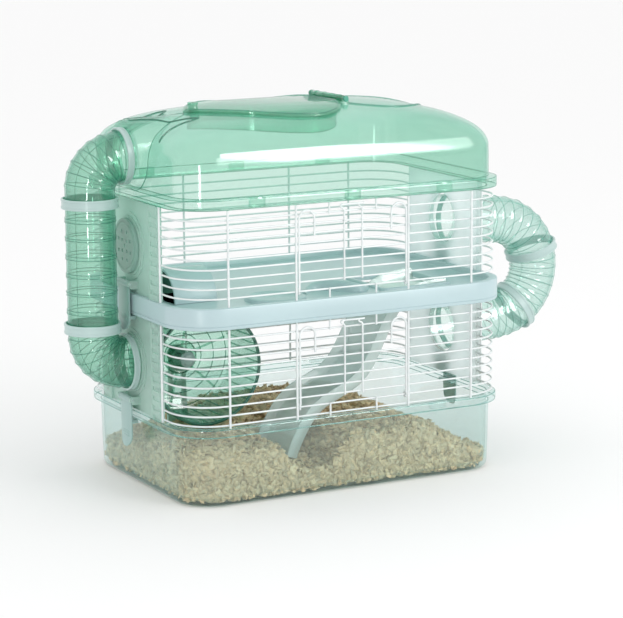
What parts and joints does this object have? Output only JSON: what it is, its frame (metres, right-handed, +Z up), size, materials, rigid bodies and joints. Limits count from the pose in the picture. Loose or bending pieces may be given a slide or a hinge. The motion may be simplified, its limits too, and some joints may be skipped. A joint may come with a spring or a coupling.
{
  "type": "hamster cage",
  "caption": "Two-storey wire hamster cage on a clear tray, with a domed lid top, outside climbing tubes, a slide, a running wheel and opening wire doors.",
  "frame": {"origin": "centre of the tray's flat underside", "axes": "+X to the right along the long side, +Y into the cage from the doors, +Z up"},
  "size_m": [0.5686, 0.263, 0.3834],
  "materials": {
    "base_tray": "clear tinted gloss",
    "bedding": "loose shavings",
    "dome_lid": "clear tinted gloss",
    "dome_port_ring": "satin",
    "dome_top": "clear tinted gloss",
    "hide_arch": "satin",
    "left_clip_lower": "satin",
    "left_clip_lower_pin": "satin",
    "left_clip_upper": "satin",
    "left_clip_upper_pin": "satin",
    "left_elbow_lower": "clear tinted gloss",
    "left_elbow_upper": "clear tinted gloss",
    "left_port_collar": "satin",
    "left_ring_lower": "satin",
    "left_ring_upper": "satin",
    "left_straight_tube": "clear tinted gloss",
    "lid_hinge_pin": "gloss",
    "lower_door": "powder coated",
    "lower_front_grille": "powder coated",
    "lower_left_panel": "satin",
    "lower_rear_grille": "powder coated",
    "lower_right_panel": "satin",
    "platform": "satin",
    "right_clip_lower": "satin",
    "right_clip_lower_pin": "satin",
    "right_clip_upper": "satin",
    "right_clip_upper_pin": "satin",
    "right_collar_lower": "satin",
    "right_collar_upper": "satin",
    "right_elbow_lower": "clear tinted gloss",
    "right_elbow_upper": "clear tinted gloss",
    "right_port_stub": "clear tinted gloss",
    "right_ring_lower": "satin",
    "right_ring_middle": "satin",
    "slide_ramp": "translucent",
    "upper_door": "powder coated",
    "upper_front_grille": "powder coated",
    "upper_left_panel": "satin",
    "upper_rear_grille": "powder coated",
    "upper_right_panel": "satin",
    "vent_cap": "satin",
    "wheel_axle": "satin",
    "wheel_drum": "clear tinted gloss",
    "wheel_hub_cap": "satin",
    "wheel_stand": "satin"
  },
  "bodies": {
    "cage": {"base_tray": "base_tray", "bedding": "bedding", "dome_port_ring": "dome_port_ring", "dome_top": "dome_top", "hide_arch": "hide_arch", "left_clip_lower_pin": "left_clip_lower_pin", "left_clip_upper_pin": "left_clip_upper_pin", "left_elbow_lower": "left_elbow_lower", "left_elbow_upper": "left_elbow_upper", "left_port_collar": "left_port_collar", "left_ring_lower": "left_ring_lower", "left_ring_upper": "left_ring_upper", "left_straight_tube": "left_straight_tube", "lid_hinge_pin": "lid_hinge_pin", "lower_front_grille": "lower_front_grille", "lower_left_panel": "lower_left_panel", "lower_rear_grille": "lower_rear_grille", "lower_right_panel": "lower_right_panel", "platform": "platform", "right_clip_lower_pin": "right_clip_lower_pin", "right_clip_upper_pin": "right_clip_upper_pin", "right_collar_lower": "right_collar_lower", "right_collar_upper": "right_collar_upper", "right_elbow_lower": "right_elbow_lower", "right_elbow_upper": "right_elbow_upper", "right_port_stub": "right_port_stub", "right_ring_lower": "right_ring_lower", "right_ring_middle": "right_ring_middle", "slide_ramp": "slide_ramp", "upper_front_grille": "upper_front_grille", "upper_left_panel": "upper_left_panel", "upper_rear_grille": "upper_rear_grille", "upper_right_panel": "upper_right_panel", "wheel_axle": "wheel_axle", "wheel_stand": "wheel_stand"},
    "lid": {"dome_lid": "dome_lid"},
    "lower_wire_door": {"lower_door": "lower_door"},
    "upper_wire_door": {"upper_door": "upper_door"},
    "wheel": {"wheel_drum": "wheel_drum", "wheel_hub_cap": "wheel_hub_cap"},
    "vent": {"vent_cap": "vent_cap"},
    "clip_left_upper": {"left_clip_upper": "left_clip_upper"},
    "clip_left_lower": {"left_clip_lower": "left_clip_lower"},
    "clip_right_upper": {"right_clip_upper": "right_clip_upper"},
    "clip_right_lower": {"right_clip_lower": "right_clip_lower"}
  },
  "joints": [
    {"name": "lid_hinge", "type": "hinge", "parent": "cage", "child": "lid", "pos_m": [0.0426, 0, 0.3798], "axis": [0, 1, 0], "range_deg": [0, 110]},
    {"name": "lower_door_hinge", "type": "hinge", "parent": "cage", "child": "lower_wire_door", "pos_m": [0, -0.1264, 0.09143], "axis": [1, 0, 0], "range_deg": [0, 120]},
    {"name": "upper_door_hinge", "type": "hinge", "parent": "cage", "child": "upper_wire_door", "pos_m": [0, -0.1264, 0.2061], "axis": [1, 0, 0], "range_deg": [0, 120]},
    {"name": "wheel_spin", "type": "hinge", "parent": "cage", "child": "wheel", "pos_m": [-0.114, 0, 0.119], "axis": [0, 1, 0], "continuous": true},
    {"name": "left_upper_clip_hinge", "type": "hinge", "parent": "cage", "child": "clip_left_upper", "pos_m": [-0.1882, 0, 0.2075], "axis": [0, 1, 0], "range_deg": [0, 2.5]},
    {"name": "left_lower_clip_hinge", "type": "hinge", "parent": "cage", "child": "clip_left_lower", "pos_m": [-0.1882, 0, 0.0906], "axis": [0, 1, 0], "range_deg": [0, 80]},
    {"name": "right_upper_clip_hinge", "type": "hinge", "parent": "cage", "child": "clip_right_upper", "pos_m": [0.1882, 0, 0.2075], "axis": [0, -1, 0], "range_deg": [0, 75]},
    {"name": "right_lower_clip_hinge", "type": "hinge", "parent": "cage", "child": "clip_right_lower", "pos_m": [0.1882, 0, 0.0906], "axis": [0, -1, 0], "range_deg": [0, 80]},
    {"name": "vent_cap_pull", "type": "slide", "parent": "cage", "child": "vent", "axis": [-1, 0, 0], "range_m": [0, 0.009]}
  ]
}
